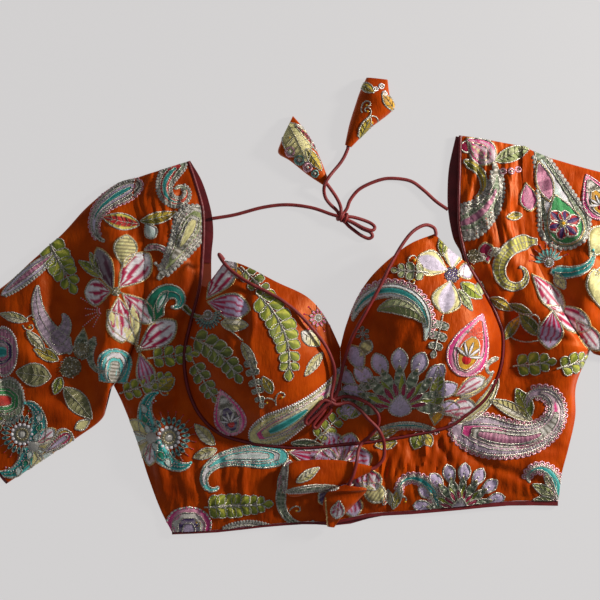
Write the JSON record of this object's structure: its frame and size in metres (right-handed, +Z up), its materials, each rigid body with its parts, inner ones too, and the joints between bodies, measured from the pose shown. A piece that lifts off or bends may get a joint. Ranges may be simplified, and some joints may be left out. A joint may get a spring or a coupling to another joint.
{
  "type": "choli blouse",
  "caption": "Short padded-cup choli blouse laid flat, with short sleeves, deep neck, maroon piping and tied cords with cloth tassels.",
  "frame": {"origin": "centre of the garment's outline, without its cords and tassels, on the surface it lies on", "axes": "+X to the viewer's right across the sleeves, +Y from hem to neck, +Z up from the surface, out of the front"},
  "size_m": [0.8435, 0.442, 0.0482],
  "materials": {
    "silk": "orange satin silk with raised thread and bead embroidery",
    "maroon_trim": "maroon satin piping, binding and facing",
    "dori": "maroon stuffed fabric cord"
  },
  "bodies": {
    "root": {"front_panel": "silk", "back_panel": "silk", "sleeve_left": "silk", "sleeve_right": "silk", "cup_left_inner": "silk", "cup_left_outer": "silk", "cup_right_inner": "silk", "cup_right_outer": "silk", "neck_facing_left": "maroon_trim", "neck_facing_right": "maroon_trim", "hem_binding_front": "maroon_trim", "hem_binding_back": "maroon_trim", "seam_piping": "maroon_trim", "cuff_piping_left": "maroon_trim", "cuff_piping_right": "maroon_trim", "dori_neck_left": "dori", "dori_neck_right": "dori", "dori_neck_knot": "dori", "dori_neck_loop_a": "dori", "dori_neck_loop_b": "dori", "dori_neck_tail_a": "dori", "dori_neck_tail_b": "dori", "tassel_neck_a": "silk", "tassel_neck_b": "silk", "dori_cup_left": "dori", "dori_cup_right": "dori", "dori_cup_knot": "dori", "dori_cup_loop_a": "dori", "dori_cup_loop_b": "dori", "dori_cup_tail_a": "dori", "dori_cup_tail_b": "dori", "tassel_cup_a": "silk", "tassel_cup_b": "silk"}
  },
  "joints": []
}
